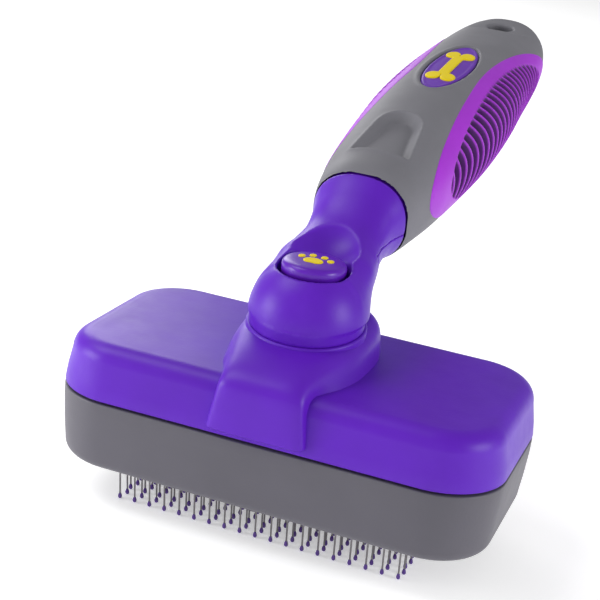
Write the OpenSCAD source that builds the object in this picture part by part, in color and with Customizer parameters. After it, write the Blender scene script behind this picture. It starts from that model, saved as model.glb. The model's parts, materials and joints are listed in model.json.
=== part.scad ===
// Self-cleaning slicker brush for pets, in millimetres.
// The origin is the centre of the brush's footprint, at the level of the pin tips.
// X runs along the head, +Y points to the end of the handle, +Z is up.

/* [Head] */
// Length of the head along its long side
head_l = 105; // [95:1:115]
// Width of the head across its short side
head_w = 56.4; // [54:0.2:60]
// Plan radius of the head's corners
head_corner = 15.4; // [12:0.2:18]
// Height of the upper shell
shell_h = 13; // [12:0.5:16]
// Height of the guard tray
guard_h = 16.7; // [16:0.1:19]
// Length of pin that shows below the guard
pin_out = 9.3; // [8.6:0.1:11]
// Wall thickness of the moulded shells
wall = 2; // [1.6:0.1:2.4]
// Open seam between the upper shell and the guard
seam = 0.6; // [0.4:0.1:1]

/* [Pins] */
// Pins in one row along the head
pin_cols = 19; // [11:1:19]
// Rows of pins across the head
pin_rows = 15; // [9:1:15]
// Distance between pins in a row
pin_pitch = 3.8; // [3.6:0.1:3.8]
// Distance between rows
row_pitch = 2.75; // [2.5:0.05:2.75]
// Radius of the pin wire
pin_r = 0.22; // [0.18:0.01:0.25]
// Radius of the rounded tip
tip_r = 0.5; // [0.4:0.05:0.55]
// Forward offset of the pin at its knee
pin_bend = 1.35; // [0.8:0.05:1.4]

/* [Self-cleaning mechanism] */
// Travel of the guard and the button
travel = 8; // [6:0.5:8]
// Radius of the guide posts
post_r = 2; // [1.5:0.1:2.2]
// Radius of the button's cap
button_r = 7.4; // [7:0.1:8.2]
// Radius of the stem below the button
stem_r = 3.5; // [3:0.1:4]
// Radial clearance of the sliding fits
fit_gap = 0.05; // [0.02:0.01:0.08]
// Wire radius of the return springs
spring_wire = 0.4; // [0.3:0.05:0.5]
// Turns of each return spring
spring_turns = 6; // [4:1:7]

/* [Handle] */
// Upward tilt of the handle, in degrees
tilt = 7.5; // [4:0.5:10]
// Thickness of the rubber grip
grip_t = 3; // [2.4:0.1:3.4]
// Depth to which pads and badge are set into the grip
inlay = 1.8; // [1.2:0.1:2]
// Radius of the hanging hole
hang_r = 4; // [3:0.1:4.5]

/* [Hidden] */
$fn = 48;
eps = 0.01;

// Levels above the pin tips
guard_z = pin_out;
floor_z = guard_z + 1.6;
seam_z = guard_z + guard_h;
top_z = seam_z + shell_h;
ceiling_z = top_z - wall;
bed_z = floor_z + 2.3;
bed_t = 2.4;
bed_top = bed_z + bed_t;
plate_z = bed_top + 13.9;
plate_t = 2.5;

// The neck's foot: centre of its ring on the saddle
foot_y = -3;
foot_z = top_z + 8.6;
foot_r = 13.2;
ball_r = 13.9;
ball_s = 0.8;
ball_n = 1.4;
ring_h = 2.4;

// Button
button_y = -2.7;
button_top = foot_z + 14.7;
cap_h = 4.6;
foot_flange = 1.5;

// Places of the fasteners and posts
post_x = 42;
post_y = 15;
bed_screw_at = [[-44.5, 0], [44.5, 0], [0, -22.6], [0, 22.6]];
neck_screw_d = 7.8;
saddle_screw_at = [[-7, -22.5], [7, -22.5]];
handle_screw_s = [50, 88, 122];
split_n = 12;
boss_r = 3.2;
lip_drop = 2.1;
screw_r = 1.2;
screw_head_r = 2.3;
screw_head_h = 1.7;

// Handle profile: distance along the handle, top, bottom, half width
arm_rows = [[1, 13, 1.2, 9.6], [9, 15.8, 0.8, 11.8], [15, 16.2, 1.8, 11],
    [21, 17.9, 3.2, 9.9], [27, 21.7, 3.8, 10.3], [33.3, 25.2, 3, 12.1]];
grip_rows = [[33.3, 25.2, 3, 12.1], [42, 27, 2.8, 14], [51, 28.6, 2.3, 15.2],
    [62, 30.6, 1.8, 16], [74, 32, 1.6, 16.9], [88, 33, 2, 17.9], [102, 33.5, 2.9, 18.2],
    [116, 33.7, 4.2, 17.9], [130, 33.6, 5.8, 17.1], [144, 33.1, 7.4, 16.4],
    [154, 32.6, 9, 15.7], [162, 32.1, 10.8, 14.6], [168, 31.6, 12.8, 12.8],
    [172, 30.9, 15, 10.2], [174.5, 29.5, 18, 6.5]];
core_rows = [for (r = grip_rows) if (r[0] < 150) r];
core_end = 140;
section_n = 32;
section_e = 2.3;
hang_s = 161;
hang_flat = 31;
hang_low = 14;
badge_s = 104;
badge_size = [41, 12.6];
pad_s = 102;
pad_n = 18.3;
pad_size = [118, 28.2];
pad_tilt = 2;
pad_x = 7.2;
thumb_s = [43.5, 66];
thumb_w = 14;

// Footprint of the whole brush, used to centre it on the origin
front_y = -head_w / 2 - 2;
end_row = grip_rows[len(grip_rows) - 1];
back_y = foot_y + end_row[0] * cos(tilt) - end_row[2] * sin(tilt);
centre_y = (front_y + back_y) / 2;

// Signed power, for superellipses
function spow(v, p) = sign(v) * pow(abs(v), p);

// One closed section of the handle at a row, shrunk by inset
function section(row, inset) = [for (i = [0:section_n - 1])
    let (a = 360 * i / section_n, mid = (row[1] + row[2]) / 2, half = (row[1] - row[2]) / 2)
    [(row[3] - inset) * spow(cos(a), 2 / section_e), row[0],
        mid + (half - inset) * spow(sin(a), 2 / section_e)]];

// Skin through rings of equal length, with a fan over each end
module skin(rings) {
    m = len(rings[0]);
    last = (len(rings) - 1) * m;
    points = [for (r = rings) each r];
    sides = [for (i = [0:len(rings) - 2], j = [0:m - 1])
        let (a = i * m + j, b = i * m + (j + 1) % m)
        each [[a, b, b + m], [a, b + m, a + m]]];
    ends = [for (j = [1:m - 2])
        each [[0, j + 1, j], [last, last + j, last + j + 1]]];
    polyhedron(points = points, faces = concat(sides, ends));
}

// Solid through the handle's rows, shrunk by inset
module loft(rows, inset = 0) {
    skin([for (r = rows) section(r, inset)]);
}

// Inside of the arm and the core, which narrows where the grip begins
hollow_rows = concat(
    [for (r = arm_rows) if (r[0] > 18 && r[0] < 30) shrink(r, wall + 0.4)],
    [shrink([31.3, 25.2, 3, 12.1], grip_t + wall)],
    [for (r = core_rows) if (r[0] > 40 && r[0] < core_end) shrink(r, grip_t + wall)]);
function shrink(r, d) = [r[0], r[1] - d, r[2] + d, r[3] - d];

// The handle's own frame: Y runs along it and Z is square to it
module along_handle() {
    translate([0, foot_y, foot_z])
        rotate([tilt, 0, 0])
            children();
}

// Everything is drawn around the head's centre, then moved to the origin
module placed() {
    translate([0, -centre_y, 0])
        children();
}

// Rounded rectangle with true arcs
module round_rect(l, w, r) {
    square([l - 2 * r, w], center = true);
    square([l, w - 2 * r], center = true);
    for (x = [-1, 1], y = [-1, 1])
        translate([x * (l / 2 - r), y * (w / 2 - r)])
            circle(r);
}

// Block with a rounded-rectangle plan
module slab(l, w, r, z0, z1) {
    translate([0, 0, z0])
        linear_extrude(z1 - z0)
            round_rect(l, w, r);
}

// Block whose far edge is rounded: z0 is its square end, z1 its rounded end
module soft_slab(l, w, r, z0, z1, edge, taper) {
    up = sign(z1 - z0);
    hull() {
        translate([0, 0, min(z0, z0 + up * 0.2)])
            linear_extrude(0.2)
                round_rect(l, w, r, $fn = 32);
        for (x = [-1, 1], y = [-1, 1])
            translate([x * (l / 2 - r), y * (w / 2 - r), z1 - up * edge])
                rotate_extrude($fn = 32)
                    translate([r - edge - taper, 0])
                        circle(edge, $fn = 16);
    }
}

module rod(r, z0, z1) {
    translate([0, 0, z0])
        cylinder(r = r, h = z1 - z0);
}

// Screw with its head at the bottom, pointing up: head_z is the underside of the plate it holds
module screw(head_z, tip_z) {
    rod(screw_head_r, head_z - screw_head_h, head_z);
    rod(screw_r, head_z - eps, tip_z);
}

module at(places) {
    for (p = places)
        translate([p[0], p[1], 0])
            children();
}

post_at = [for (x = [-1, 1], y = [-1, 1]) [x * post_x, y * post_y]];
neck_screw_at = [for (x = [-1, 1], y = [-1, 1]) [x * neck_screw_d, foot_y + y * neck_screw_d]];

// Upper shell of the head: a cap, open below, with bosses for the pin bed
module head_shell() {
    color("blueviolet")
        difference() {
            union() {
                difference() {
                    soft_slab(head_l, head_w, head_corner, seam_z + seam, top_z, 4.2, 0.4);
                    slab(head_l - 2 * wall, head_w - 2 * wall, head_corner - wall, seam_z - 1, ceiling_z);
                }
                at(bed_screw_at)
                    rod(boss_r, bed_top, ceiling_z + eps);
            }
            translate([0, button_y, 0])
                rod(stem_r + 0.6, ceiling_z - 1, top_z + 1);
            at(concat(neck_screw_at, saddle_screw_at))
                rod(screw_r + 0.2, ceiling_z - 1, top_z + 1);
            at(bed_screw_at)
                rod(screw_r, bed_top - 1, bed_top + 12);
        }
}

// Saddle: base y and z, top y and z, half width at the base, half width at the top
saddle_rows = [[14.2, top_z, 14.2, top_z + 9.4, 8.6, 7.6], [12.6, top_z, 12.6, top_z + 10, 12.2, 11.4],
    [9, top_z, 9, top_z + 10, 14.8, 14.2], [4, top_z, 4, top_z + 9.3, 15.7, 15.2],
    [-3, top_z, -3, top_z + 8.4, 15.9, 14.9], [-10, top_z, -10, top_z + 7.5, 15.8, 13.9],
    [-16, top_z, -16, top_z + 6.4, 15, 12.4], [-21, top_z, -21.5, top_z + 5, 13, 11.2],
    [-25.5, top_z, -26.5, top_z + 3.4, 11.2, 10.4], [-head_w / 2, top_z, -29.3, top_z + 1.4, 10.7, 10.2],
    [-head_w / 2, top_z - 3, -30.1, top_z - 2, 10.6, 10.2],
    [-head_w / 2, seam_z + 3.6, front_y, seam_z + 3.6, 10.6, 10.3],
    [-head_w / 2, seam_z + 2.7, front_y + 0.5, seam_z + 2.7, 10.2, 9.9]];
saddle_n = 16;

// Section of the saddle: an arch with nearly square shoulders on its base line
function arch(row) = [for (i = [saddle_n:-1:0])
    let (a = 180 * i / saddle_n, h = spow(sin(a), 0.4))
    [((1 - h) * row[4] + h * row[5]) * spow(cos(a), 0.4),
        (1 - h) * row[0] + h * row[2], (1 - h) * row[1] + h * row[3]]];

module saddle() {
    color("mediumslateblue")
        difference() {
            union() {
                skin([for (r = saddle_rows) arch(r)]);
                intersection() {
                    along_handle()
                        rod(foot_r + 0.6, -12, 0);
                    translate([-30, -40, top_z])
                        cube([60, 80, 20]);
                }
            }
            translate([0, button_y, 0]) {
                rod(stem_r + fit_gap, top_z - 5, foot_z + 5);
                rod(foot_r - 4, top_z - 5, top_z + 4.5);
            }
            at(neck_screw_at)
                rod(screw_r + 0.2, top_z - 5, foot_z + 5);
            at(saddle_screw_at)
                rod(screw_r, top_z - 5, top_z + 3.2);
        }
}

module saddle_screws() {
    color("silver")
        at(saddle_screw_at)
            screw(ceiling_z, top_z + 3);
}

// Space below the split plane, behind the ball, that belongs to the handle's cover
module cover_zone() {
    translate([-40, 16.5, -20])
        cube([80, 200, 20 + split_n]);
}

// Solid form of the neck's arm and the handle's core
module core() {
    loft(arm_rows);
    loft(core_rows, grip_t);
}

// Bosses for the handle screws, from wall to wall of the core
module screw_bosses() {
    intersection() {
        loft(core_rows, grip_t + 0.3);
        for (s = handle_screw_s)
            translate([0, s, -5])
                cylinder(r = 3.3, h = 50);
    }
}

// Neck and upper half of the handle's core in one moulding
module neck_shell() {
    color("blueviolet")
        difference() {
            along_handle()
                difference() {
                    union() {
                        rod(foot_r, 0, ring_h + eps);
                        intersection() {
                            translate([0, ball_s, ball_n])
                                sphere(ball_r);
                            rod(ball_r + 2, ring_h, 40);
                        }
                        difference() {
                            core();
                            loft(hollow_rows);
                        }
                        screw_bosses();
                    }
                    cover_zone();
                    translate([0, 8.6, 21.9])
                        sphere(11);
                    for (s = handle_screw_s)
                        translate([0, s, 0])
                            rod(screw_r, split_n - 1, 21);
                }
            translate([0, button_y, 0])
                rod(button_r + 1, foot_z - 4, button_top + 10);
            at(neck_screw_at)
                rod(screw_r, foot_z - 5, foot_z + 6);
        }
}

module neck_screws() {
    color("silver")
        at(neck_screw_at)
            screw(ceiling_z, foot_z + 5);
}

// Lower half of the handle's core
module handle_cover() {
    color("blueviolet")
        along_handle()
            difference() {
                intersection() {
                    union() {
                        difference() {
                            core();
                            loft(hollow_rows);
                        }
                        screw_bosses();
                    }
                    cover_zone();
                }
                for (s = handle_screw_s)
                    translate([0, s, 0]) {
                        rod(screw_head_r + 0.2, -10, 9.9);
                        rod(screw_r + 0.2, 0, split_n + 1);
                    }
            }
}

module handle_screws() {
    color("silver")
        along_handle()
            for (s = handle_screw_s)
                translate([0, s, 0])
                    screw(9.9, 20.5);
}

// Ellipse by formula, so that it stays flat-sided on every node that uses it
module ellipse(size, n = 40) {
    polygon([for (i = [0:n - 1])
        [size[0] / 2 * cos(360 * i / n), size[1] / 2 * sin(360 * i / n)]]);
}

// What lies outside the grip's surface shrunk by depth, within an outline seen from above
module from_top(depth, s) {
    difference() {
        translate([0, s, 20])
            linear_extrude(30)
                children();
        loft(grip_rows, depth);
    }
}

// The same within an outline seen from the side
module from_side(depth, side) {
    difference() {
        translate([0, pad_s, pad_n])
            rotate([90, 0, 90])
                mirror([0, 0, side < 0 ? 1 : 0])
                    translate([0, 0, pad_x])
                        linear_extrude(30)
                            rotate(pad_tilt)
                                children();
        loft(grip_rows, depth);
    }
}

// Half-moon outline of the thumb rest
module thumb_outline() {
    r = thumb_w / 2;
    translate([0, thumb_s[1] - r])
        circle(r);
    translate([-r, thumb_s[0]])
        square([thumb_w, thumb_s[1] - thumb_s[0] - r]);
}

// Rubber grip over the core, with pockets for the pads and the badge
module grip_sleeve() {
    color("dimgray")
        along_handle()
            difference() {
                loft(grip_rows);
                translate([0, -eps, 0])
                    loft(core_rows, grip_t);
                for (side = [-1, 1])
                    from_side(inlay, side)
                        ellipse(pad_size);
                from_top(inlay, badge_s)
                    rotate(90)
                        ellipse(badge_size);
                from_top(1.1, 0)
                    thumb_outline();
                translate([0, hang_s, 0]) {
                    rod(9.5, hang_flat, 40);
                    rod(9.5, 0, hang_low);
                    rod(hang_r, 0, 40);
                }
            }
}

module side_pad(side) {
    color("mediumorchid")
        along_handle()
            intersection() {
                from_side(inlay, side)
                    ellipse(pad_size);
                loft(grip_rows);
            }
}

module badge_plate() {
    color("slateblue")
        along_handle()
            intersection() {
                from_top(inlay, badge_s)
                    rotate(90)
                        ellipse([badge_size[0] - 0.8, badge_size[1] - 0.8]);
                loft(grip_rows, -0.3);
            }
}

// Bone outline
module bone() {
    square([20, 3.2], center = true);
    for (x = [-1, 1], y = [-1, 1])
        translate([x * 10, y * 1.9])
            circle(2.4);
}

module badge_emblem() {
    color("gold")
        along_handle()
            intersection() {
                from_top(-0.3, badge_s)
                    rotate(90)
                        bone();
                loft(grip_rows, -0.8);
            }
}

// Button cap with a soft upper edge
module button_cap() {
    edge = 1.2;
    color("blueviolet")
        translate([0, button_y, button_top - cap_h])
            difference() {
                union() {
                    rod(button_r, 0, cap_h - edge);
                    rod(button_r - edge, 0, cap_h);
                    rotate_extrude()
                        translate([button_r - edge, cap_h - edge])
                            circle(edge);
                }
                rod(stem_r, -1, cap_h - 1.6);
            }
}

// Paw print: one pad and four toes
module button_emblem() {
    color("gold")
        translate([0, button_y, button_top])
            linear_extrude(0.3) {
                translate([0, -1.2])
                    circle(2.1);
                for (a = [-66, -22, 22, 66])
                    translate([3.9 * sin(a), 3.9 * cos(a) - 1.2])
                        circle(0.95);
            }
}

// Stem with a flange that rests on the push plate
module button_stem() {
    color("whitesmoke")
        translate([0, button_y, 0]) {
            rod(stem_r, plate_z + plate_t, button_top - 1.6);
            rod(stem_r + 2.5, plate_z + plate_t, plate_z + plate_t + foot_flange);
        }
}

// Cross-shaped plate that joins the button's stem to the four guide posts
module push_plate() {
    arm = 2 * norm([post_x, post_y]);
    color("whitesmoke")
        difference() {
            translate([0, 0, plate_z])
                linear_extrude(plate_t) {
                    translate([0, button_y])
                        circle(stem_r + 5);
                    for (a = [-1, 1])
                        rotate(a * atan(post_y / post_x))
                            square([arm, 7], center = true);
                    for (p = post_at)
                        translate(p)
                            circle(4.6);
                }
            at(post_at)
                rod(screw_r + 0.1, plate_z - 1, plate_z + plate_t + 1);
        }
}

module guide_posts() {
    color("silver")
        at(post_at)
            difference() {
                rod(post_r, guard_z + 0.6, plate_z);
                rod(screw_r, plate_z - 7, plate_z + 1);
            }
}

// Screws that point down through the push plate into the posts
module post_screws() {
    z = plate_z + plate_t;
    color("silver")
        at(post_at) {
            rod(screw_head_r, z, z + screw_head_h);
            rod(screw_r, z - 8, z + eps);
        }
}

// Coil of round wire with flat-lying start and end
module coil(r, wire, z0, z1, turns) {
    steps = 12;
    sides = 6;
    total = turns * steps;
    rings = [for (i = [0:total])
        let (a = 360 * i / steps, z = z0 + wire + (z1 - z0 - 2 * wire) * i / total)
        [for (j = [0:sides - 1])
            let (b = 360 * j / sides, q = r + wire * cos(b))
            [q * cos(a), q * sin(a), z - wire * sin(b)]]];
    skin(rings);
}

module return_springs() {
    color("lightgray")
        at(post_at)
            coil(post_r + 1.4, spring_wire, bed_top, plate_z, spring_turns);
}

// Centre of each pin at the bed; odd rows are shifted a little
tip_back = 0.25;
function pin_at(i, j) = [(i - (pin_cols - 1) / 2) * pin_pitch + (j % 2 == 0 ? -0.25 : 0.25),
    (j - (pin_rows - 1) / 2) * row_pitch];
function is_corner(i, j) = (i == 0 || i == pin_cols - 1) && (j == 0 || j == pin_rows - 1);
pin_places = [for (i = [0:pin_cols - 1], j = [0:pin_rows - 1]) if (!is_corner(i, j)) pin_at(i, j)];
corner_places = [for (i = [0, pin_cols - 1], j = [0, pin_rows - 1]) pin_at(i, j)];

// Locating lip inside the top of the guard's wall, with room for the shell's bosses
module lip() {
    low = seam_z - lip_drop;
    difference() {
        union() {
            slab(head_l - 2 * wall - 0.8, head_w - 2 * wall - 0.8, head_corner - wall - 0.4, low, seam_z + 2);
            slab(head_l - 2 * wall + eps, head_w - 2 * wall + eps, head_corner - wall, low, low + 1.2);
        }
        slab(head_l - 4 * wall + 0.8, head_w - 4 * wall + 0.8, head_corner - 2 * wall + 0.4,
            low - 1, seam_z + 3);
        at(bed_screw_at)
            rod(boss_r + 0.55, low - 1, seam_z + 3);
    }
}

// Guard: a perforated tray that slides down the pins
module guard_tray() {
    color("dimgray")
        difference() {
            union() {
                difference() {
                    soft_slab(head_l, head_w, head_corner, seam_z, guard_z, 2.6, 1.2);
                    slab(head_l - 2 * wall, head_w - 2 * wall, head_corner - wall, floor_z, seam_z + 1);
                }
                lip();
                at(post_at)
                    rod(post_r + 1.4, floor_z - eps, bed_z);
            }
            at(post_at)
                rod(post_r, guard_z + 0.6, seam_z);
            at(bed_screw_at)
                rod(screw_head_r + 0.5, guard_z - 1, floor_z + 1);
            at(concat(pin_places, corner_places))
                translate([0, -(pin_bend + tip_back) / 2, 0])
                    rod(1.1, guard_z - 1, floor_z + 1, $fn = 24);
        }
}

// Rigid plate that carries the pins
module pin_bed() {
    color("dimgray")
        difference() {
            slab(head_l - 2 * wall - 5, head_w - 2 * wall - 2.4, head_corner - wall - 1.2, bed_z, bed_top);
            at(post_at)
                rod(post_r + fit_gap, bed_z - 1, bed_top + 1);
            at(bed_screw_at)
                rod(screw_r + 0.2, bed_z - 1, bed_top + 1);
        }
}

module bed_screws() {
    color("silver")
        at(bed_screw_at)
            screw(bed_z, bed_top + 10);
}

// Soft pad that grips the pins
module pin_cushion() {
    color("darkslateblue")
        difference() {
            slab(75, 42, 4, floor_z + 0.4, bed_z);
            at(bed_screw_at)
                rod(screw_head_r + 0.4, floor_z - 1, bed_z + 1);
        }
}

// One pin: it leans forward through the guard as far as its knee, then back to the tip
module pin($fn = 16) {
    knee_z = guard_z - 2.6;
    knuckle = pin_r + 0.05;
    leg([0, 0, bed_z], [0, -pin_bend, knee_z]);
    leg([0, -pin_bend, knee_z], [0, -tip_back, tip_r]);
    translate([0, -pin_bend, knee_z])
        sphere(knuckle);
}

// Straight piece of wire between two points in the YZ plane
module leg(from, to) {
    d = to - from;
    translate(from)
        rotate([atan2(-d[1], d[2]), 0, 0])
            cylinder(r = pin_r, h = norm(d));
}

module pins_field() {
    color("silver")
        at(pin_places)
            pin();
}

module pins_corner() {
    color("silver")
        at(corner_places)
            pin();
}

// Rounded tips, one bead below each pin
module beads(places) {
    color("rebeccapurple")
        at(places)
            translate([0, -tip_back, tip_r])
                sphere(tip_r, $fn = 24);
}

placed() head_shell();
placed() saddle();
placed() saddle_screws();
placed() neck_shell();
placed() neck_screws();
placed() handle_cover();
placed() handle_screws();
placed() grip_sleeve();
placed() side_pad(-1);  // side_pad_left
placed() side_pad(1);  // side_pad_right
placed() badge_plate();
placed() badge_emblem();
placed() button_cap();
placed() button_emblem();
placed() button_stem();
placed() push_plate();
placed() guide_posts();
placed() post_screws();
placed() return_springs();
placed() guard_tray();
placed() pin_bed();
placed() bed_screws();
placed() pin_cushion();
placed() pins_field();
placed() pins_corner();
placed() beads(pin_places);  // tips_field
placed() beads(corner_places);  // tips_corner
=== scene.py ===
"""Looks of a self-cleaning slicker brush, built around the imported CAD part.

Shapes are worked out in millimetres and become metres when a mesh is made. The head is drawn in the
row frame. The handle is drawn in its own frame (x across, s along the handle, n up and square to it),
which starts at the centre of the neck's ring and is tilted up by TILT.
"""
import json
import math

import bmesh
import bpy
import numpy as np
from mathutils import Matrix, Vector

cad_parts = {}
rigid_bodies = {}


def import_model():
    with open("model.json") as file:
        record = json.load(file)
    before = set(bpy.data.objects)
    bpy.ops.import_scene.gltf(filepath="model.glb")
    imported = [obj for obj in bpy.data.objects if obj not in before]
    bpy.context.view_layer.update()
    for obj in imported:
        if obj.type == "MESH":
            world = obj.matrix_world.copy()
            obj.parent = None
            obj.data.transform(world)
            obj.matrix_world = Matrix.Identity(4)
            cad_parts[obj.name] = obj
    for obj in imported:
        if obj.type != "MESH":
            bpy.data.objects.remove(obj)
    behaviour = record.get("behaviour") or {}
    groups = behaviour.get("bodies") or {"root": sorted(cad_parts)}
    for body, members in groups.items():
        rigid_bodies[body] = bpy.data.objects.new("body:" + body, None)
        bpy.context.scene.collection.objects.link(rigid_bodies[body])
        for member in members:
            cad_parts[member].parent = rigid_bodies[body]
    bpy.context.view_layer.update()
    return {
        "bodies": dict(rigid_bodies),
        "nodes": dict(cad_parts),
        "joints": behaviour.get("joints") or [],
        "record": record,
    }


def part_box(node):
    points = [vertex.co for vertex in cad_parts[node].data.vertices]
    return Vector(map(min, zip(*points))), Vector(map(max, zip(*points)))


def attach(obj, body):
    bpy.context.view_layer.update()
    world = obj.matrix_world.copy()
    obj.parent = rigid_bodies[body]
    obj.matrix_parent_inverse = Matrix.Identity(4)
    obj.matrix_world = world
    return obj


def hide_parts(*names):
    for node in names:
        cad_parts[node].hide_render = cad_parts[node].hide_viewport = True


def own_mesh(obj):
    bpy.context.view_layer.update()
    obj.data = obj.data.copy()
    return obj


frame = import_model()

MM = 0.001
TILT = math.radians(7.5)


def span(node):
    """Lowest and highest corner of a CAD node, in millimetres."""
    low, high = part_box(node)
    return np.array(low) / MM, np.array(high) / MM


# Places and levels, from the CAD
guard_low, guard_high = span("guard_tray")
shell_high = span("head_shell")[1]
bed_low, bed_high = span("pin_bed")
cap_low, cap_high = span("button_cap")
HEAD_Y = (guard_low[1] + guard_high[1]) / 2
HEAD_L = guard_high[0] - guard_low[0]
HEAD_W = guard_high[1] - guard_low[1]
PIN_TIP_Z = span("tips_field")[0][2]
TOP_Z = shell_high[2]
SEAM_Z = TOP_Z - 13.0
SHELL_Z = SEAM_Z + 0.6
GUARD_Z = guard_low[2]
BUTTON_AT = (cap_low[:2] + cap_high[:2]) / 2
BUTTON_R = (cap_high[0] - cap_low[0]) / 2
BUTTON_TOP = cap_high[2]
CORNER_R = 15.4
WALL = 2.0
FOOT = np.array([0.0, HEAD_Y - 3.0, TOP_Z + 8.6])
FOOT_R = 13.2
RING_H = 2.4

# Rows along the handle: distance, top, bottom, half width
ARM_ROWS = np.array([
    [1, 13, 1.2, 9.6], [9, 15.8, 0.8, 11.8], [15, 16.2, 1.8, 11],
    [21, 17.9, 3.2, 9.9], [27, 21.7, 3.8, 10.3], [33.3, 25.2, 3, 12.1], [38, 26.2, 3, 13]])
GRIP_ROWS = np.array([
    [31.2, 24.15, 3.15, 11.6], [33.3, 25.3, 2.95, 12.2], [42, 27, 2.8, 14], [51, 28.6, 2.3, 15.2],
    [62, 30.6, 1.8, 16], [74, 32, 1.6, 16.9], [88, 33, 2, 17.9], [102, 33.5, 2.9, 18.2], [116, 33.7, 4.2, 17.9],
    [130, 33.6, 5.8, 17.1], [144, 33.1, 7.4, 16.4], [154, 32.6, 9, 15.7],
    [162, 32.1, 10.8, 14.6], [168, 31.6, 12.8, 12.8], [172, 30.9, 15, 10.2],
    [174.5, 29.5, 18, 6.5]])
SECTION_E = 2.3
COLLAR_S = 31.2
HANG_S = 161.0
THUMB_S, THUMB_ROUND_S = 44.2, 59.5
BADGE_S = 104.0
BADGE_HALF = (20.5, 6.3)
SPLIT_N = 12.0
SPLIT_S = 16.5


# ---------------------------------------------------------------- maths
def smooth_min(a, b, k):
    """The smaller of a and b, with a fillet about k wide where they meet."""
    h = np.clip(0.5 + 0.5 * (b - a) / k, 0, 1)
    return b * (1 - h) + a * h - k * h * (1 - h)


def smooth_max(a, b, k):
    """The larger of a and b, with a fillet about k wide where they meet."""
    return -smooth_min(-a, -b, k)


def step_up(x, low, high):
    """0 below low, 1 above high, and a smooth step between them."""
    t = np.clip((x - low) / (high - low), 0, 1)
    return t * t * (3 - 2 * t)


def spline(x, rows, column):
    """Smooth curve through one column of a table of rows, at x."""
    knots, values = rows[:, 0], rows[:, column]
    slopes = np.gradient(values, knots)
    i = np.clip(np.searchsorted(knots, x) - 1, 0, len(knots) - 2)
    h = knots[i + 1] - knots[i]
    t = np.clip((x - knots[i]) / h, 0, 1)
    return ((2 * t**3 - 3 * t**2 + 1) * values[i] + (t**3 - 2 * t**2 + t) * h * slopes[i]
            + (3 * t**2 - 2 * t**3) * values[i + 1] + (t**3 - t**2) * h * slopes[i + 1])


def handle_to_row(points):
    """Points of the handle's frame in the row frame."""
    x, s, n = points[..., 0], points[..., 1], points[..., 2]
    c, d = math.cos(TILT), math.sin(TILT)
    return np.stack([x + FOOT[0], s * c - n * d + FOOT[1], s * d + n * c + FOOT[2]], -1)


def tube_field(x, s, n, rows):
    """Below zero inside the handle's rows, and roughly the distance to them."""
    top, bottom, wide = (spline(s, rows, column) for column in (1, 2, 3))
    mid, half = (top + bottom) / 2, (top - bottom) / 2
    q = (np.abs(x / wide) ** SECTION_E + np.abs((n - mid) / half) ** SECTION_E) ** (1 / SECTION_E)
    return (q - 1) * np.minimum(wide, half)


def grip_top(x, s):
    """Height n of the grip's upper surface."""
    top, bottom, wide = (spline(s, GRIP_ROWS, column) for column in (1, 2, 3))
    mid, half = (top + bottom) / 2, (top - bottom) / 2
    return mid + half * (1 - np.abs(x / wide) ** SECTION_E) ** (1 / SECTION_E)


def grip_side(s, n):
    """Half width x of the grip at a height n."""
    top, bottom, wide = (spline(s, GRIP_ROWS, column) for column in (1, 2, 3))
    mid, half = (top + bottom) / 2, (top - bottom) / 2
    q = np.clip(1 - np.abs((n - mid) / half) ** SECTION_E, 0, 1)
    return wide * q ** (1 / SECTION_E)


# ---------------------------------------------------------------- meshes
def new_piece(name, points, faces, material, body, sharp=None):
    """A piece from points in millimetres that rides on a CAD body."""
    mesh = bpy.data.meshes.new(name)
    mesh.from_pydata((np.asarray(points) * MM).tolist(), [], [list(f) for f in faces])
    mesh.validate()
    mesh.update()
    mesh.shade_smooth()
    if sharp:
        mesh.set_sharp_from_angle(angle=math.radians(sharp))
    mesh.materials.append(material)
    piece = bpy.data.objects.new(name, mesh)
    bpy.context.scene.collection.objects.link(piece)
    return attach(piece, body)


def skin(rings, first=True, last=True):
    """Points and faces of a skin through closed rings of equal length, with flat ends."""
    m = len(rings[0])
    points = np.concatenate(rings)
    j = np.arange(m)
    faces = []
    for k in range(len(rings) - 1):
        a, b = k * m + j, k * m + (j + 1) % m
        faces += np.stack([a, b, b + m, a + m], 1).tolist()
    if first:
        faces.append(j[::-1].tolist())
    if last:
        faces.append(((len(rings) - 1) * m + j).tolist())
    return points, faces


def joined(parts):
    """One list of points and faces from several."""
    points, faces, offset = [], [], 0
    for part_points, part_faces in parts:
        points.append(np.asarray(part_points))
        faces += [[v + offset for v in f] for f in part_faces]
        offset += len(part_points)
    return np.concatenate(points), faces


def sheet_between(front, back):
    """Closed slab between two grids of points of the same shape."""
    rows, columns = front.shape[:2]
    size = rows * columns
    index = np.arange(size).reshape(rows, columns)
    a, b, c, d = index[:-1, :-1], index[1:, :-1], index[1:, 1:], index[:-1, 1:]
    faces = np.stack([a, b, c, d], -1).reshape(-1, 4).tolist()
    faces += (np.stack([a, d, c, b], -1).reshape(-1, 4) + size).tolist()
    edge = np.concatenate([index[0, :], index[1:, -1], index[-1, -2::-1], index[-2:0:-1, 0]])
    after = np.roll(edge, -1)
    faces += np.stack([edge, after, after + size, edge + size], 1).tolist()
    return np.concatenate([front.reshape(-1, 3), back.reshape(-1, 3)]), faces


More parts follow.
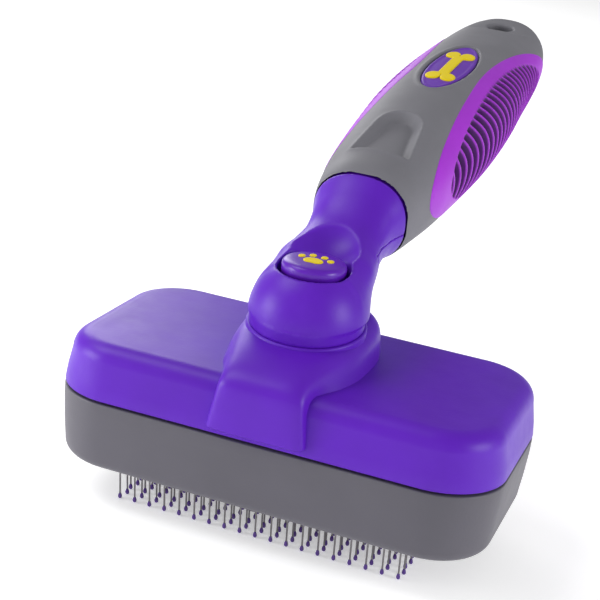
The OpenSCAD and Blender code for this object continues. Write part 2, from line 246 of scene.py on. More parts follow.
def nets(field, low, high, step):
    """Smooth closed surface where field(x, y, z) is zero, as quads on a grid of that step."""
    axes = [np.arange(a, b + step, step) for a, b in zip(low, high)]
    grid = np.meshgrid(*axes, indexing="ij")
    values = field(*grid)
    inside = values < 0
    cells = tuple(len(a) - 1 for a in axes)
    total, count = np.zeros(cells + (3,)), np.zeros(cells)
    for axis in range(3):
        head = [slice(None)] * 3
        tail = [slice(None)] * 3
        head[axis], tail[axis] = slice(0, -1), slice(1, None)
        v0, v1 = values[tuple(head)], values[tuple(tail)]
        crossed = inside[tuple(head)] != inside[tuple(tail)]
        t = np.where(crossed, v0 / np.where(crossed, v0 - v1, 1), 0)
        places = np.stack([g[tuple(head)] for g in grid], -1)
        places[..., axis] += t * step
        places *= crossed[..., None]
        others = [k for k in range(3) if k != axis]
        for d0 in (0, 1):
            for d1 in (0, 1):
                part = [slice(None)] * 3
                part[others[0]] = slice(d0, cells[others[0]] + d0)
                part[others[1]] = slice(d1, cells[others[1]] + d1)
                total += places[tuple(part)]
                count += crossed[tuple(part)]
    used = count > 0
    index = np.full(cells, -1)
    index[used] = np.arange(used.sum())
    points = total[used] / count[used][:, None]
    quads = []
    for axis in range(3):
        b, c = (axis + 1) % 3, (axis + 2) % 3
        part = [slice(1, -1)] * 3
        part[axis] = slice(0, -1)
        after = [slice(1, -1)] * 3
        after[axis] = slice(1, None)
        crossed = inside[tuple(part)] != inside[tuple(after)]
        where = np.argwhere(crossed)
        outward = inside[tuple(part)][crossed]
        where[:, b] += 1
        where[:, c] += 1
        corners = []
        for db, dc in ((-1, -1), (0, -1), (0, 0), (-1, 0)):
            cell = where.copy()
            cell[:, b] += db
            cell[:, c] += dc
            corners.append(index[cell[:, 0], cell[:, 1], cell[:, 2]])
        quad = np.stack(corners, 1)
        quad[~outward] = quad[~outward][:, ::-1]
        quads.append(quad)
    quads = np.concatenate(quads)
    for relax in (True, True, False):
        if relax:
            centres = points[quads].mean(1)
            sums, counts = np.zeros_like(points), np.zeros(len(points))
            for k in range(4):
                np.add.at(sums, quads[:, k], centres)
                np.add.at(counts, quads[:, k], 1)
            points = 0.5 * points + 0.5 * sums / counts[:, None]
        points = onto(field, points, step)
    return points, quads.tolist()


def onto(field, points, step):
    """Points moved on to the surface where field is zero."""
    reach = 0.03
    for _ in range(2):
        value = field(*points.T)
        slope = np.stack([
            (field(*(points + reach * e).T) - field(*(points - reach * e).T)) / (2 * reach)
            for e in np.eye(3)], 1)
        size = np.maximum((slope**2).sum(1), 0.05)
        move = -(value / size)[:, None] * slope
        length = np.linalg.norm(move, axis=1, keepdims=True)
        points = points + move * np.minimum(1, 0.6 * step / np.maximum(length, 1e-9))
    return points


def rounded_ring(l, w, r, z, arc=20):
    """Rounded rectangle around the head's centre at height z."""
    ring = []
    for k, (sx, sy) in enumerate(((1, 1), (-1, 1), (-1, -1), (1, -1))):
        for i in range(arc + 1):
            a = math.radians(90 * k + 90 * i / arc)
            ring.append((sx * (l / 2 - r) + r * math.cos(a),
                         HEAD_Y + sy * (w / 2 - r) + r * math.sin(a), z))
    return np.array(ring)


def tub_rings(profile):
    """Rings of a head-shaped tub, from (inset, height) pairs."""
    return [rounded_ring(HEAD_L - 2 * i, HEAD_W - 2 * i, max(CORNER_R - i, 0.6), z) for i, z in profile]


def arc_profile(inset, z, radius, start, end, steps=10):
    """Profile points on an arc whose centre is at (inset, z); 180 degrees points outwards."""
    return [(inset + radius * math.cos(math.radians(start + (end - start) * k / steps)),
             z + radius * math.sin(math.radians(start + (end - start) * k / steps)))
            for k in range(steps + 1)]


def revolve(profile, centre, sides=64):
    """Closed solid turned from (radius, height) pairs around a vertical axis."""
    a = np.arange(sides) * 2 * math.pi / sides
    rings = [np.stack([centre[0] + r * np.cos(a), centre[1] + r * np.sin(a), np.full(sides, z)], 1)
             for r, z in profile]
    return skin(rings)


# ---------------------------------------------------------------- materials
def material(name, colour, roughness, *, metallic=0.0, coat=0.0, grain=900.0, bump=0.05, mottle=0.06,
             specular=0.5, valley=None):
    """Moulded material with fine grain, whose colour and gloss vary a little.

    A painted shade colour, given as valley, takes over where the mesh's "valley" attribute is 1: it darkens the
    pad's rib valleys as if they lay in shadow.
    """
    made = bpy.data.materials.new(name)
    made.use_nodes = True
    nodes, links = made.node_tree.nodes, made.node_tree.links
    shader = nodes["Principled BSDF"]
    shader.inputs["Metallic"].default_value = metallic
    shader.inputs["Specular IOR Level"].default_value = specular
    shader.inputs["Coat Weight"].default_value = coat
    shader.inputs["Coat Roughness"].default_value = 0.25
    place = nodes.new("ShaderNodeTexCoord")

    def noise(scale, detail):
        made_noise = nodes.new("ShaderNodeTexNoise")
        made_noise.inputs["Scale"].default_value = scale
        made_noise.inputs["Detail"].default_value = detail
        links.new(place.outputs["Object"], made_noise.inputs["Vector"])
        return made_noise.outputs["Fac"]

    ramp = nodes.new("ShaderNodeValToRGB")
    ramp.color_ramp.elements[0].position = 0.3
    ramp.color_ramp.elements[1].position = 0.7
    ramp.color_ramp.elements[0].color = [c * (1 - mottle) for c in colour] + [1]
    ramp.color_ramp.elements[1].color = [min(c * (1 + mottle), 1) for c in colour] + [1]
    links.new(noise(60, 4), ramp.inputs["Fac"])
    shown = ramp.outputs["Color"]
    # painted shade: the valley colour darkens the surface where the "valley" attribute is 1
    if valley:
        painted_shade_mask = nodes.new("ShaderNodeAttribute")
        painted_shade_mask.attribute_name = "valley"
        mix = nodes.new("ShaderNodeMix")
        mix.data_type = "RGBA"
        mix.inputs["B"].default_value = (*valley, 1)
        links.new(painted_shade_mask.outputs["Fac"], mix.inputs["Factor"])
        links.new(shown, mix.inputs["A"])
        shown = mix.outputs["Result"]
    links.new(shown, shader.inputs["Base Color"])
    spread = nodes.new("ShaderNodeMapRange")
    spread.inputs["To Min"].default_value = roughness - 0.06
    spread.inputs["To Max"].default_value = roughness + 0.06
    links.new(noise(220, 5), spread.inputs["Value"])
    links.new(spread.outputs["Result"], shader.inputs["Roughness"])
    relief = nodes.new("ShaderNodeBump")
    relief.inputs["Strength"].default_value = bump
    relief.inputs["Distance"].default_value = 0.0002
    links.new(noise(grain, 3), relief.inputs["Height"])
    links.new(relief.outputs["Normal"], shader.inputs["Normal"])
    return made


PURPLE = material("purple_abs", (0.105, 0.010, 0.47), 0.40, grain=1500, bump=0.10, specular=0.28)
BUTTON_PURPLE = material("button_abs", (0.105, 0.010, 0.42), 0.30, grain=1500, bump=0.05, specular=0.35)
GUARD_GREY = material("guard_abs", (0.105, 0.100, 0.122), 0.45, grain=1300, bump=0.12, mottle=0.05,
                      specular=0.35)
GRIP_GREY = material("grip_rubber", (0.175, 0.173, 0.195), 0.58, grain=1700, bump=0.16, mottle=0.05,
                     specular=0.3)
# magenta pad rubber; its valley colour is painted shade for the deep rib valleys
PAD_MAGENTA_AND_VALLEY_SHADE = material("pad_rubber_and_valley_shade", (0.36, 0.028, 0.60), 0.48, grain=1500, bump=0.06, mottle=0.05,
                       specular=0.25, valley=(0.035, 0.001, 0.075))
BADGE_PURPLE = material("badge_plastic", (0.14, 0.035, 0.42), 0.5, grain=1200, bump=0.05, specular=0.2)
YELLOW = material("yellow_ink", (0.80, 0.62, 0.010), 0.55, grain=2500, bump=0.15, mottle=0.04,
                  specular=0.15)
WHITE = material("white_acetal", (0.72, 0.72, 0.70), 0.4, grain=900, bump=0.05, mottle=0.03)
CUSHION = material("cushion_rubber", (0.035, 0.03, 0.045), 0.7, grain=800, bump=0.3, specular=0.3)
BED = material("bed_plastic", (0.05, 0.048, 0.06), 0.5, grain=900, bump=0.1)
WIRE = material("wire_steel", (0.20, 0.19, 0.20), 0.38, metallic=1.0, grain=2500, bump=0.05)
SPRING = material("spring_steel", (0.55, 0.55, 0.56), 0.28, metallic=1.0, grain=2200, bump=0.05)
SCREW = material("screw_steel", (0.42, 0.42, 0.44), 0.35, metallic=1.0, grain=2000, bump=0.08)
TIP = material("tip_resin", (0.06, 0.006, 0.22), 0.22, grain=2500, bump=0.03, coat=0.4)


# ---------------------------------------------------------------- head
ACCESS_AT = [(-44.5, 0.0), (44.5, 0.0), (0.0, -22.6), (0.0, 22.6)]


def head_shell():
    """Upper shell with a soft roll along its upper edge, hollow below."""
    roll, rim = 4.4, 0.35
    outer = [(rim, SHELL_Z)] + arc_profile(rim, SHELL_Z + rim, rim, 270, 180, 4)
    outer += [(0.35, SEAM_Z + 4)] + arc_profile(1.2 + roll, TOP_Z - roll, roll, 180, 90, 14)
    outer += [(8.0, TOP_Z)]
    ceiling = TOP_Z - WALL
    inner = [(WALL, SHELL_Z)] + arc_profile(WALL + 1.5, ceiling - 1.5, 1.5, 180, 90, 4)
    bosses = [revolve([(1.2, bed_high[2]), (2.5, bed_high[2]), (2.8, bed_high[2] + 0.3), (2.8, ceiling)],
                      (x, HEAD_Y + y), 32) for x, y in ACCESS_AT]
    points, faces = joined([skin(tub_rings(inner[::-1] + outer))] + bosses)
    piece = new_piece("upper_shell", points, faces, PURPLE, "brush", sharp=50)
    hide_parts("head_shell")


# Rows along the strap, from the head's centre and top: base y and z, top y and z, half width at the
# base and at the top
SADDLE_ROWS = np.array([
    [14.2, 0, 14.2, 9.4, 8.6, 7.6], [12.6, 0, 12.6, 10, 12.2, 11.4], [9, 0, 9, 10, 14.8, 14.2],
    [4, -0.4, 4, 9.3, 15.7, 15.2], [-3, -0.4, -3, 8.4, 15.9, 14.9], [-10, -0.4, -10, 7.5, 15.6, 13.7],
    [-16, -0.4, -16, 6.4, 14.2, 11.8], [-20.5, -0.6, -21.5, 5, 12.2, 10.5],
    [-24, -1.2, -26.5, 3.2, 10.7, 9.9], [-26.2, -2.2, -29.2, 1.0, 10.4, 9.9], [-26.9, -4.2, -30.0, -2, 10.6, 10.1],
    [-27.6, -9.6, -30.2, -9.6, 11.5, 11.1], [-28, -10.6, -30.1, -10.4, 11.4, 11.0],
    [-28, -11.0, -29.5, -11.0, 10.8, 10.4]])


def saddle():
    """Strap that carries the neck: it runs forward, rolls over the head's edge and hangs as an apron."""
    count, fine, exponent = 48, 6, 0.4
    at = np.arange(len(SADDLE_ROWS), dtype=float)
    table = np.column_stack([at, SADDLE_ROWS])
    a = np.linspace(math.pi, 0, count + 1)
    rise = np.abs(np.sin(a)) ** exponent
    side = np.sign(np.cos(a)) * np.abs(np.cos(a)) ** exponent
    rings = []
    for t in np.linspace(0, len(SADDLE_ROWS) - 1, (len(SADDLE_ROWS) - 1) * fine + 1):
        base_y, base_z, top_y, top_z, half_base, half_top = (
            float(spline(np.array(t), table, c)) for c in range(1, 7))
        rings.append(np.stack([
            ((1 - rise) * half_base + rise * half_top) * side,
            HEAD_Y + (1 - rise) * base_y + rise * top_y,
            TOP_Z + (1 - rise) * base_z + rise * top_z], 1))
    strap = skin(rings)
    r = FOOT_R + 0.6
    a = np.arange(96) * 2 * math.pi / 96
    seat = [np.stack([q * np.cos(a), q * np.sin(a), np.full(96, n)], 1)
            for q, n in [(r, -9.5)] + [(r - 0.5 + 0.5 * math.cos(b), -0.5 + 0.5 * math.sin(b))
                                       for b in np.linspace(0, math.pi / 2, 6)]]
    seat_points, seat_faces = skin(seat)
    points, faces = joined([strap, (handle_to_row(seat_points), seat_faces)])
    piece = new_piece("saddle_strap", points, faces, PURPLE, "brush", sharp=60)
    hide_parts("saddle")


# ---------------------------------------------------------------- guard
PIN_COLUMNS, PIN_ROWS = 19, 15
PIN_PITCH, ROW_PITCH, STAGGER = 3.8, 2.75, 0.25
PIN_BEND, TIP_BACK = 1.35, 0.25
HOLE_R, ACCESS_R = 1.1, 2.8


def pin_places():
    """Centre of each pin where it leaves its bed, around the head's centre."""
    return [((i - (PIN_COLUMNS - 1) / 2) * PIN_PITCH + (-STAGGER if j % 2 == 0 else STAGGER),
             (j - (PIN_ROWS - 1) / 2) * ROW_PITCH)
            for i in range(PIN_COLUMNS) for j in range(PIN_ROWS)]


def hole_outlines():
    """Outlines of the holes in the guard's floor; a pin hole that meets an access hole joins it."""
    shift = -(PIN_BEND + TIP_BACK) / 2
    pins = [(x, y + shift) for x, y in pin_places()]
    outlines = []
    for cx, cy in ACCESS_AT:
        near = [p for p in pins if math.hypot(p[0] - cx, p[1] - cy) < HOLE_R + ACCESS_R]
        pins = [p for p in pins if p not in near]
        ring = []
        for a in np.arange(64) * 2 * math.pi / 64:
            reach = ACCESS_R
            for px, py in near:
                dx, dy = px - cx, py - cy
                along = dx * math.cos(a) + dy * math.sin(a)
                off = abs(dy * math.cos(a) - dx * math.sin(a))
                if off < HOLE_R:
                    reach = max(reach, along + math.sqrt(HOLE_R**2 - off**2))
            ring.append((cx + reach * math.cos(a), cy + reach * math.sin(a)))
        outlines.append(ring)
    a = np.arange(16) * 2 * math.pi / 16
    outlines += [[(x + HOLE_R * math.cos(b), y + HOLE_R * math.sin(b)) for b in a] for x, y in pins]
    return outlines


def filled_with_holes(edge, outlines, z, upward):
    """Flat face with holes: points and faces between an outer ring and the holes, at height z."""
    grid = bmesh.new()
    for ring in [edge] + outlines:
        verts = [grid.verts.new((p[0], p[1], 0)) for p in ring]
        for k in range(len(verts)):
            grid.edges.new((verts[k], verts[(k + 1) % len(verts)]))
    bmesh.ops.triangle_fill(grid, use_beauty=True, use_dissolve=False, edges=grid.edges[:])
    grid.verts.index_update()
    points = np.array([(v.co.x, v.co.y, z) for v in grid.verts])
    faces = []
    for f in grid.faces:
        loop = [v.index for v in f.verts]
        if (f.normal.z > 0) != upward:
            loop.reverse()
        faces.append(loop)
    grid.free()
    return points, faces


def guard_tray():
    """Perforated tray: soft outer wall, inner wall, floor with a hole for each pin and a locating lip."""
    floor_z = GUARD_Z + 1.6
    edge, taper, lip = 2.9, 1.0, 0.35
    outer = arc_profile(taper + edge, GUARD_Z + edge, edge, 270, 180, 12)
    outer += [(0.45, GUARD_Z + 8), (0.05, SEAM_Z - 3)]
    outer += arc_profile(lip, SEAM_Z - lip, lip, 180, 90, 4)
    inner = [(2.45, SEAM_Z), (2.45, guard_high[2] - 0.2), (2.65, guard_high[2]), (2.95, guard_high[2]),
             (3.15, guard_high[2] - 0.2), (3.15, SEAM_Z - 1.2), (WALL, SEAM_Z - 2), (WALL, floor_z + 0.8),
             (WALL + 0.8, floor_z)]
    rings = tub_rings(outer + inner)
    wall_points, wall_faces = skin(rings, first=False, last=False)
    outlines = [[(x, y + HEAD_Y) for x, y in ring] for ring in hole_outlines()]
    under = filled_with_holes(rings[0][:, :2], outlines, GUARD_Z, False)
    above = filled_with_holes(rings[-1][:, :2], outlines, floor_z, True)
    bores = []
    for ring in outlines:
        flat = np.array(ring)
        low = np.column_stack([flat, np.full(len(flat), GUARD_Z)])
        high = np.column_stack([flat, np.full(len(flat), floor_z)])
        points, faces = skin([low, high], first=False, last=False)
        bores.append((points, [f[::-1] for f in faces]))
    points, faces = joined([(wall_points, wall_faces), under, above] + bores)
    piece = new_piece("guard_shell", points, faces, GUARD_GREY, "guard")
    weld(piece, 0.002, 40)
    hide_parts("guard_tray")


def weld(piece, distance, sharp):
    """Joins points closer than a distance in millimetres, and marks edges sharper than an angle again."""
    mesh = bmesh.new()
    mesh.from_mesh(piece.data)
    bmesh.ops.remove_doubles(mesh, verts=mesh.verts, dist=distance * MM)
    mesh.to_mesh(piece.data)
    mesh.free()
    piece.data.set_sharp_from_angle(angle=math.radians(sharp))


# ---------------------------------------------------------------- pins
WIRE_R, TIP_R = 0.22, 0.5


def pins():
    """Each pin is one bent wire: down and forward to its knee, then back to the tip."""
    knee_z = GUARD_Z - 2.6
    sides = 8
    a = np.arange(sides) * 2 * math.pi / sides
    foot, tip = bed_low[2] + 0.6, PIN_TIP_Z + TIP_R
    path = [(0, foot)]
    for k in np.linspace(-1, 1, 7):
        drop = 0.55 * k
        y_up = -PIN_BEND * (foot - knee_z - max(-drop, 0)) / (foot - knee_z)
        y_down = -PIN_BEND + (PIN_BEND - TIP_BACK) * max(drop, 0) / (knee_z - tip)
        path.append((y_up if drop < 0 else y_down, knee_z - drop))
    path.append((-TIP_BACK, tip))
    path = np.array(path)
    path[2:-2, 0] = (path[1:-3, 0] + path[2:-2, 0] + path[3:-1, 0]) / 3
    tangent = np.gradient(path, axis=0)
    tangent /= np.linalg.norm(tangent, axis=1, keepdims=True)
    one = np.array([
        np.stack([WIRE_R * np.cos(a), y + WIRE_R * np.sin(a) * t[1], z - WIRE_R * np.sin(a) * t[0]], 1)
        for (y, z), t in zip(path, tangent)])
    bead = [(0.26, 1.5), (0.34, 1.25), (0.44, 0.95), (0.5, 0.62), (0.47, 0.35), (0.36, 0.13), (0.18, 0.02)]
    b = np.arange(12) * 2 * math.pi / 12
    wires, tips = [], []
    for x, y in pin_places():
        place = np.array([x, HEAD_Y + y, 0])
        wires.append(skin([ring + place for ring in one[::-1]]))
        tips.append(skin([
            np.stack([x + r * np.cos(b), HEAD_Y + y - TIP_BACK + r * np.sin(b) - 0.13 * z * (z > 0.6),
                      np.full(12, PIN_TIP_Z + z)], 1) for r, z in bead[::-1]]))
    wire = new_piece("bent_pins", *joined(wires), WIRE, "brush", sharp=70)
    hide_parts("pins_field", "pins_corner")
    bead_piece = new_piece("pin_tips", *joined(tips), TIP, "brush", sharp=70)
    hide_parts("tips_field", "tips_corner")


# ---------------------------------------------------------------- neck
def neck_field(x, s, n):
    """Ball over a ring, flowing into the arm, with a thumb scoop and the button's well."""
    ball = np.sqrt(x**2 + (s - 0.8) ** 2 + (n - 1.4) ** 2) - 13.9
    arm = smooth_max(tube_field(x, s, n, ARM_ROWS), ARM_ROWS[0, 0] - s, 1.0)
    arm = np.maximum(arm + 0.9 * step_up(s, COLLAR_S + 0.8, COLLAR_S + 1.6), s - 37)
    body = smooth_min(ball, arm, 3.0)
    lowest = RING_H - 1.2 * step_up(s, 12.5, 19)
    body = smooth_max(body, lowest - n, 0.5)
    band = smooth_max(np.hypot(x, s) - FOOT_R, np.abs(n - 1.6) - 1.6, 0.3)
    body = np.minimum(body, band)
    scoop = 11 - np.sqrt(x**2 + (s - 8.6) ** 2 + (n - 21.9) ** 2)
    up = s * math.sin(TILT) + n * math.cos(TILT) + FOOT[2]
    y = s * math.cos(TILT) - n * math.sin(TILT) + FOOT[1] - BUTTON_AT[1]
    well = BUTTON_R + 0.9 - np.hypot(x, y)
    well = np.minimum(well, up - cap_low[2] + 3)
    return smooth_max(smooth_max(body, scoop, 0.7), well, 0.7)


def cover_part(x, s, n):
    """Below zero in the handle's lower cover, behind the ball and below the split."""
    return np.maximum(SPLIT_S - s, n - SPLIT_N)


def neck():
    """Neck and cover, split where their seam shows."""
    step = 0.42

    def upper(x, s, n):
        return smooth_max(neck_field(x, s, n), 0.04 - cover_part(x, s, n), 0.12)

    def lower(x, s, n):
        return smooth_max(neck_field(x, s, n), cover_part(x, s, n) + 0.04, 0.12)

    points, faces = nets(upper, (-15, -14.8, -0.8), (15, 38, 28), step)
    piece = new_piece("neck_body", handle_to_row(points), faces, PURPLE, "brush")
    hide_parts("neck_shell")
    points, faces = nets(lower, (-15, 15, -0.8), (15, 38, 14), step)
    piece = new_piece("neck_cover", handle_to_row(points), faces, PURPLE, "brush")
    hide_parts("handle_cover")


# ---------------------------------------------------------------- grip
PAD_AT, PAD_HALF, PAD_TILT = (102.0, 18.3), (59.0, 14.1), math.radians(2)
FIELD_AT, FIELD_HALF = (104.0, 18.4), (47.0, 12.0)


def turned(s, n, centre, angle):
    """Offsets from a centre along and across a direction at an angle."""
    ds, dn = s - centre[0], n - centre[1]
    return ds * math.cos(angle) + dn * math.sin(angle), dn * math.cos(angle) - ds * math.sin(angle)


def ellipse_field(u, v, half):
    """Roughly the distance outside an ellipse of those half axes."""
    k = np.sqrt((u / half[0]) ** 2 + (v / half[1]) ** 2)
    slope = np.sqrt((u / half[0] ** 2) ** 2 + (v / half[1] ** 2) ** 2) + 1e-6
    return k * (k - 1) / slope


def thumb_field(x, s):
    """Roughly the distance outside the thumb rest's round end and its narrowing sides."""
    half = np.maximum(7.4 - 0.12 * (s - THUMB_S), 5.4)
    return np.hypot(x, np.maximum(s - THUMB_ROUND_S, 0)) - half


def grip_field(x, s, n):
    """Rubber sleeve with pockets for the pads and the badge, a thumb rest and a hanging hole."""
    body = tube_field(x, s, n, GRIP_ROWS)
    upper = step_up(n, 14, 18)
    frame = ellipse_field(s - BADGE_S, x, (BADGE_HALF[0] + 0.9, BADGE_HALF[1] + 0.9))
    body = body - 0.22 * np.exp(-((frame / 0.55) ** 2)) * upper
    thumb = thumb_field(x, s)
    sunk = np.minimum(np.clip(0.05 - thumb / 2.1, 0, 1), np.clip((s - THUMB_S) / 0.8, 0, 1))
    body = body + (1.6 + 0.7 * step_up(s, 44, 64)) * sunk * upper
    rim = smooth_max(thumb, THUMB_S - s, 1.2) - 0.5
    body = body - 0.2 * np.exp(-((rim / 0.55) ** 2)) * upper
    under_pad = -ellipse_field(*turned(s, n, PAD_AT, PAD_TILT), PAD_HALF)
    body = body + 2.3 * step_up(under_pad, 0.7, 2.0) * step_up(np.abs(x), 2, 4)
    under_badge = -ellipse_field(s - BADGE_S, x, BADGE_HALF)
    body = body + 1.3 * step_up(under_badge, -0.15, 0.6) * upper
    body = smooth_max(body, COLLAR_S - s, 0.25)
    body = smooth_max(body, s - 174.3, 1.6)
    from_hole = np.hypot(x, s - HANG_S)
    flat = smooth_max(from_hole - 9.5, 31 - n, 1.2)
    body = smooth_max(body, -flat, 1.0)
    flat = smooth_max(from_hole - 9.5, n - 14, 1.2)
    body = smooth_max(body, -flat, 1.0)
    return smooth_max(body, 4.0 - from_hole, 0.9)


def grip():
    """Rubber sleeve, as one mesh."""
    points, faces = nets(grip_field, (-19.5, 32.4, 0.4), (19.5, 175.6, 34.8), 0.5)
    piece = new_piece("grip_body", handle_to_row(points), faces, GRIP_GREY, "brush")
    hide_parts("grip_sleeve")


RIB_PITCH, RIB_DEPTH, RIB_BOW, RIB_STEPS = 3.6, 1.9, 11.0, 16


def pad_depth(s, n, u, v, phase):
    """How far the pad's face lies below the grip's surface, and how much painted shade its valley gets."""
    edge = ellipse_field(u, v, PAD_HALF)
    roll = 0.75 * step_up(edge, -0.8, 0.0) ** 2 - 0.12
    field = -ellipse_field(*turned(s, n, FIELD_AT, PAD_TILT), FIELD_HALF)
    wave = np.abs(phase - np.round(phase)) * 2
    valley = step_up(field, 0.0, 1.2) * step_up(wave, 0.16, 0.46)
    # the second value is painted shade: 1 deep in each rib valley, 0 on the crests
    return roll + RIB_DEPTH * valley, step_up(field, -0.1, 0.7) * step_up(wave, 0.1, 0.3)


def side_pad(side, name, node):
    """Ribbed pad over one side of the grip."""
    reach = PAD_HALF[0] - 0.01
    inner = np.arange(-int(reach / RIB_PITCH * RIB_STEPS), int(reach / RIB_PITCH * RIB_STEPS) + 1)
    u = np.concatenate([[-reach], inner * RIB_PITCH / RIB_STEPS, [reach]])
    phase = u / RIB_PITCH
    chord = PAD_HALF[1] * np.sqrt(1 - (u / PAD_HALF[0]) ** 2)
    w = np.sin(np.linspace(-1, 1, 120) * math.pi / 2)[None, :]
    bow = RIB_BOW * (1 - w**2) * (1 - (u[:, None] / PAD_HALF[0]) ** 2)
    phase = np.repeat(phase[:, None], w.shape[1], 1)
    v = w * chord[:, None]
    u = u[:, None] + bow
    s = PAD_AT[0] + u * math.cos(PAD_TILT) - v * math.sin(PAD_TILT)
    n = PAD_AT[1] + u * math.sin(PAD_TILT) + v * math.cos(PAD_TILT)

    def over(depth):
        reach = 0.02
        x = grip_side(s, n)
        by_s = (grip_side(s + reach, n) - grip_side(s - reach, n)) / (2 * reach)
        by_n = (grip_side(s, n + reach) - grip_side(s, n - reach)) / (2 * reach)
        normal = np.stack([np.ones_like(x), -by_s, -by_n], -1)
        normal /= np.linalg.norm(normal, axis=-1, keepdims=True)
        face = np.stack([x, s, n], -1) - depth[..., None] * normal
        face[..., 0] *= side
        return face

    depth, shade = pad_depth(s, n, u, v, phase)
    front = over(depth)
    back = over(np.full_like(s, 2.6))
    points, faces = sheet_between(front, back)
    if side < 0:
        faces = [f[::-1] for f in faces]
    piece = new_piece(name, handle_to_row(points), faces, PAD_MAGENTA_AND_VALLEY_SHADE, "brush", sharp=65)
    # painted shade in the rib valleys, stored as the "valley" attribute; the back is fully shaded
    painted_shade_mask = piece.data.attributes.new("valley", "FLOAT", "POINT")
    values = np.concatenate([shade.ravel(), np.ones(shade.size)])
    painted_shade_mask.data.foreach_set("value", values.astype(np.float32))
    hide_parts(node)


def badge():
    """Oval plate sunk into the grip, with a plain bone raised on it."""

    def plate(x, s, n):
        rise = n - grip_top(x, s)
        oval = ellipse_field(s - BADGE_S, x, (BADGE_HALF[0] - 0.35, BADGE_HALF[1] - 0.35))
        rim = 0.25 * np.exp(-(((oval + 0.7) / 0.4) ** 2))
        return smooth_max(smooth_max(oval, rise + 0.35 - rim, 0.5), -rise - 1.6, 0.3)

    def bone(x, s, n):
        rise = n - grip_top(x, s)
        along, across = np.abs(s - BADGE_S), np.abs(x)
        shaft = np.maximum(across - 1.5, along - 9.0)
        knob = np.hypot((along - 10.2) / 1.35, across - 2.1) - 2.05
        return smooth_max(smooth_max(smooth_min(shaft, knob, 0.7), rise - 0.12, 0.35), -rise - 0.8, 0.2)

    for name, field, half, step, colour, slot, node in (
            ("badge_oval", plate, (7, 22), 0.35, BADGE_PURPLE, "badge_purple", "badge_plate"),
            ("badge_bone", bone, (5, 14.5), 0.22, YELLOW, "yellow_print", "badge_emblem")):
        low = (-half[0], BADGE_S - half[1], 27)
        high = (half[0], BADGE_S + half[1], 34.6)
        points, faces = nets(field, low, high, step)
        piece = new_piece(name, handle_to_row(points), faces, colour, "brush")
        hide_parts(node)


# ---------------------------------------------------------------- button
def button():
    """Round cap with a slightly crowned top and a raised paw."""
    edge = 1.3
    bottom = cap_low[2]
    profile = [(3.6, bottom), (BUTTON_R - 0.3, bottom), (BUTTON_R, bottom + 0.3)]
    profile += [(BUTTON_R - edge + edge * math.cos(b), BUTTON_TOP - 0.25 - edge + edge * math.sin(b))
                for b in np.linspace(0, math.radians(80), 10)]
    profile += [(r, BUTTON_TOP - 0.25 * (r / BUTTON_R) ** 2) for r in (5.4, 4.2, 2.8, 1.4, 0.3)]
    piece = new_piece("button_top", *revolve(profile, BUTTON_AT, 96), BUTTON_PURPLE, "button", sharp=50)
    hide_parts("button_cap")

    def paw(x, y, z):
        pad = np.hypot(x / 1.15, (y + 1.35) / 0.95) - 2.0
        pad = smooth_max(pad, -(np.hypot(x, y + 4.3) - 1.35), 0.8)
        toes = [np.hypot((x - 3.9 * math.sin(a)) / 0.85, (y + 1.1 - 3.8 * math.cos(a)) / 1.15) - 0.95
                for a in np.radians((-62, -21, 21, 62))]
        shape = np.minimum.reduce([pad] + toes)
        top = BUTTON_TOP + 0.24 - 0.25 * (np.hypot(x, y) / BUTTON_R) ** 2
        return smooth_max(smooth_max(shape, z - top, 0.25), top - 0.7 - z, 0.1)

    points, faces = nets(paw, (-5.4, -4.6, BUTTON_TOP - 1.2), (5.4, 4.6, BUTTON_TOP + 0.6), 0.16)
    points[:, :2] += BUTTON_AT
    piece = new_piece("button_paw", points, faces, YELLOW, "button")
    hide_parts("button_emblem")


# ---------------------------------------------------------------- springs
def springs():
    """Coils between the pin bed and the push plate, riding on the guard body as one piece."""
    wire, radius, turns, steps, sides = 0.4, 3.4, 6, 28, 10
    low, high = span("return_springs")
    post_x = (high[0] - low[0]) / 2 - (radius + wire)
    post_y = (high[1] - low[1]) / 2 - (radius + wire)
    total = turns * steps
    a = 2 * math.pi * np.arange(total + 1) / steps
    z = low[2] + wire + (high[2] - low[2] - 2 * wire) * np.arange(total + 1) / total
    b = np.arange(sides) * 2 * math.pi / sides
    coils = []
    for px in (-post_x, post_x):
        for py in (-post_y, post_y):
            rings = []
            for angle, height in zip(a, z):
                q = radius + wire * np.cos(b)
                rings.append(np.stack([px + q * math.cos(angle), HEAD_Y + py + q * math.sin(angle),
                                       height - wire * np.sin(b)], 1))
            coils.append(skin(rings))
    piece = new_piece("spring_coils", *joined(coils), SPRING, "guard", sharp=70)
    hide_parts("return_springs")
    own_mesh(piece)


# ---------------------------------------------------------------- carried-over CAD nodes
def dress(nodes, made):
    """CAD nodes that keep their shape get a procedural material."""
    for node in nodes:
        piece = frame["nodes"][node]
        piece.data.materials.clear()
        piece.data.materials.append(made)


head_shell()
saddle()
guard_tray()
pins()
neck()
grip()
side_pad(-1, "pad_left", "side_pad_left")
side_pad(1, "pad_right", "side_pad_right")
badge()
button()
springs()
dress(["saddle_screws", "neck_screws", "handle_screws", "bed_screws", "post_screws"], SCREW)
dress(["guide_posts"], SPRING)
dress(["button_stem", "push_plate"], WHITE)
dress(["pin_bed"], BED)
dress(["pin_cushion"], CUSHION)


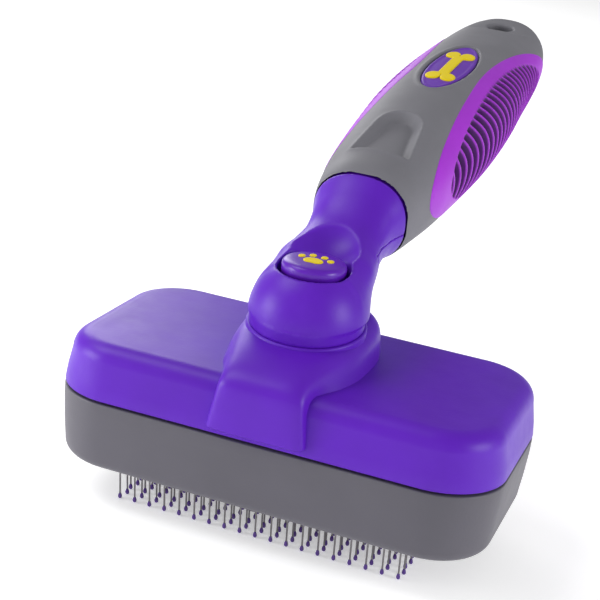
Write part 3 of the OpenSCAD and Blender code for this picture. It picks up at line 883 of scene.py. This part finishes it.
# ---------------------------------------------------------------- studio
def studio():
    """Pale floor, even surroundings and five soft lights."""
    floor_mesh = bpy.data.meshes.new("floor")
    size = 6.0
    floor_mesh.from_pydata([(-size, -size, 0), (size, -size, 0), (size, size, 0), (-size, size, 0)],
                           [], [(0, 1, 2, 3)])
    paper = material("floor_paper", (0.93, 0.93, 0.935), 0.8, grain=400, bump=0.02, mottle=0.004,
                     specular=0.2)
    shader = paper.node_tree.nodes["Principled BSDF"]
    shader.inputs["Emission Color"].default_value = (1, 1, 1, 1)
    shader.inputs["Emission Strength"].default_value = 0.42
    floor_mesh.materials.append(paper)
    floor = bpy.data.objects.new("floor", floor_mesh)
    bpy.context.scene.collection.objects.link(floor)

    world = bpy.data.worlds.new("studio")
    world.use_nodes = True
    nodes, links = world.node_tree.nodes, world.node_tree.links
    nodes["Background"].inputs["Color"].default_value = (1, 1, 1, 1)
    seen, strength = nodes.new("ShaderNodeLightPath"), nodes.new("ShaderNodeMapRange")
    strength.inputs["To Min"].default_value = 0.36
    strength.inputs["To Max"].default_value = 0.77
    links.new(seen.outputs["Is Camera Ray"], strength.inputs["Value"])
    links.new(strength.outputs["Result"], nodes["Background"].inputs["Strength"])
    bpy.context.scene.world = world
    bpy.context.scene.view_settings.view_transform = "Standard"

    middle = Vector((0, HEAD_Y * MM, 0.05))
    for name, place, power, width in (
            ("key", (-0.55, -0.15, 0.80), 3.6, 0.5),
            ("left", (-0.34, -0.17, 0.05), 0.75, 0.16),
            ("right", (0.80, -0.05, 0.22), 3.2, 0.35),
            ("fill", (0.1, -0.95, 0.45), 0.4, 0.5),
            ("rim", (-0.66, 0.86, 0.42), 3.4, 0.5)):
        data = bpy.data.lights.new(name, "AREA")
        data.energy, data.shape, data.size = power, "SQUARE", width
        light = bpy.data.objects.new(name, data)
        light.visible_camera = False
        light.location = middle + Vector(place)
        light.rotation_mode = "QUATERNION"
        light.rotation_quaternion = Vector(place).to_track_quat("Z", "Y")
        bpy.context.scene.collection.objects.link(light)


def camera():
    """Camera round the head's right front corner, slightly above it, and rolled."""
    azimuth, elevation, roll = (math.radians(a) for a in (18.206, 18.68, 7.39))
    back = Vector((math.sin(azimuth) * math.cos(elevation), -math.cos(azimuth) * math.cos(elevation),
                   math.sin(elevation)))
    right = Vector((math.cos(azimuth), math.sin(azimuth), 0))
    up = back.cross(right)
    right, up = (right * math.cos(roll) + up * math.sin(roll), up * math.cos(roll) - right * math.sin(roll))
    data = bpy.data.cameras.new("camera")
    data.lens, data.sensor_width = 88.61, 36.0
    data.clip_start, data.clip_end = 0.01, 50
    eye = bpy.data.objects.new("camera", data)
    turn = Matrix((right, up, back)).transposed().to_4x4()
    target = Vector((-3.22, HEAD_Y, 51.15)) * MM
    eye.matrix_world = Matrix.Translation(target + back * 336.83 * MM) @ turn
    bpy.context.scene.collection.objects.link(eye)
    bpy.context.scene.camera = eye


studio()
camera()
